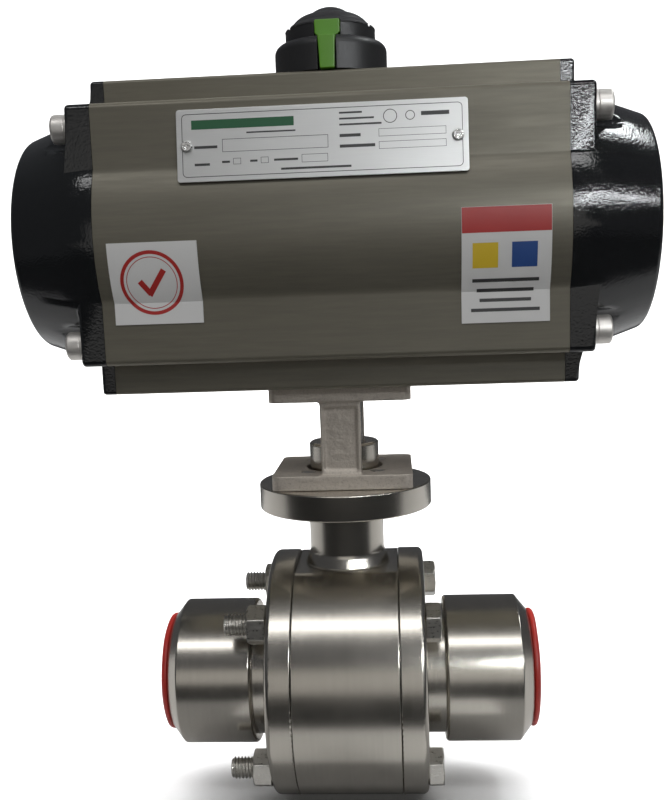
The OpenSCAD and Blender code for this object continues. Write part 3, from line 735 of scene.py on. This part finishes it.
def add_light(name, loc, target, size, power, color=(1, 1, 1), spread=180):
    d = bpy.data.lights.new(name, "AREA")
    d.shape = "RECTANGLE"
    d.size, d.size_y = size
    d.energy = power
    d.color = color
    d.spread = math.radians(spread)
    o = link(name, d)
    o.location = loc
    o.rotation_euler = (Vector(target) - Vector(loc)).to_track_quat("-Z", "Y").to_euler()
    return o


FLOOR_Z = CAD_BOX[0][2] - 0.0004
BACK_Y = 0.42


def stage_sheet(name, profile, mat):
    """A sheet 6 m wide along a profile of y and z. Metal and coat don't mirror it."""
    bm = bmesh.new()
    rows = [[bm.verts.new((x, y, z)) for x in (-3, 3)] for y, z in profile]
    for a, b in zip(rows, rows[1:]):
        bm.faces.new((a[0], a[1], b[1], b[0])).smooth = True
    me = bpy.data.meshes.new(name)
    bm.to_mesh(me)
    bm.free()
    me.materials.append(mat)
    o = link(name, me)
    o.visible_glossy = False


def make_stage():
    m = Mat("floor_paper", roughness=0.9, specular_ior_level=0.2)
    g = m.noise(m.coord(), 900, 2)
    m.set("base color", m.mix(g, (0.86, 0.86, 0.86), (0.9, 0.9, 0.9)))
    stage_sheet("floor", [(-2.5, FLOOR_Z), (BACK_Y, FLOOR_Z)], m.m)
    prof = [(BACK_Y, FLOOR_Z)]
    radius, back = 0.7, 1.1
    for i in range(13):
        a = math.radians(90 * i / 12)
        prof.append((back + radius * math.sin(a), FLOOR_Z + radius * (1 - math.cos(a))))
    prof.append((back + radius, 3.5))
    stage_sheet("backdrop", prof, m.m)


make_stage()
world = bpy.data.worlds.new("world")
bpy.context.scene.world = world
world.use_nodes = True
sky = world.node_tree.nodes["Background"]
sky.inputs["Color"].default_value = (0.92, 0.94, 1.0, 1)
sky.inputs["Strength"].default_value = 0.085


def flag(name, x0, x1, y0, y1, tone, blocks_bounce=False):
    """A card lying on the floor that the camera doesn't see, only reflections do; its tone is painted
    shade or painted light in the mirrored floor, and with blocks_bounce it also paints shade on the
    undersides by hiding the pale floor's bounce light.
    """
    z = FLOOR_Z + 0.003
    bm = bmesh.new()
    bm.faces.new([bm.verts.new(c) for c in ((x0, y0, z), (x1, y0, z), (x1, y1, z), (x0, y1, z))])
    me = bpy.data.meshes.new(name)
    bm.to_mesh(me)
    bm.free()
    o = link(name, me)
    m = Mat(name, roughness=0.9, specular_ior_level=0.1)
    g = m.noise(m.coord(), 300, 2)
    m.set("base color", m.mix(g, (tone * 0.8,) * 3, (tone,) * 3))
    me.materials.append(m.m)
    o.visible_camera = o.visible_shadow = False
    o.visible_diffuse = blocks_bounce


# painted reflections of the floor: painted shade far in front (this card also darkens the bounce light on
# the undersides), a painted bright patch right in front of the valve and painted half shade round it
HALF_SHADE_TONE = 0.38
flag("painted_shade_card", -0.9, 0.9, -1.4, -0.105, 0.018, blocks_bounce=True)
flag("painted_reflection_card", -0.05, 0.06, -0.105, -0.052, 0.98)
flag("painted_half_shade_front", -1.2, 1.2, -0.052, 0.42, HALF_SHADE_TONE)
flag("painted_half_shade_left", -1.2, -0.05, -0.105, -0.052, HALF_SHADE_TONE)
flag("painted_half_shade_right", 0.06, 1.2, -0.105, -0.052, HALF_SHADE_TONE)

# washes that light the floor, the backdrop and the labels, and stay out of the reflections
WASHES = (
    ("back_wash", (0.0, 0.75, 1.5), (0, 1.15, 0.0), (3.0, 0.8), 46, 130),
    ("floor_wash", (0.0, 0.35, 1.0), (0, 0.3, 0.0), (1.2, 0.3), 3.2, 110),
    ("key_fill", (0.05, -1.25, 1.25), (0, 0, 0.12), (1.2, 0.4), 5.6, 180),
)
for name, loc, target, size, power, spread in WASHES:
    add_light(name, loc, target, size, power, spread=spread).visible_glossy = False
add_light("key_strip", (0.0, -0.66, 1.12), (0, 0, 0.06), (1.3, 0.2), 4.2)
add_light("top_right", (0.75, 0.28, 1.20), (0.09, 0, 0.19), (0.40, 0.10), 3.4, (0.95, 0.99, 1.0))
add_light("front_panel", (0.0, -1.7, 0.25), (0, 0, 0.1), (1.5, 0.7), 1.6, (1.0, 0.97, 0.92))
# a long thin light that only draws the highlight along the caps
glint = add_light("front_right", (0.50, -0.74, 0.45), (0.1, 0, 0.17), (0.8, 0.03), 4.2, (0.95, 0.98, 1.0))
glint.visible_diffuse = False

scene = bpy.context.scene
scene.view_settings.view_transform = "Standard"
scene.view_settings.look = "None"
scene.view_settings.exposure = 0.0
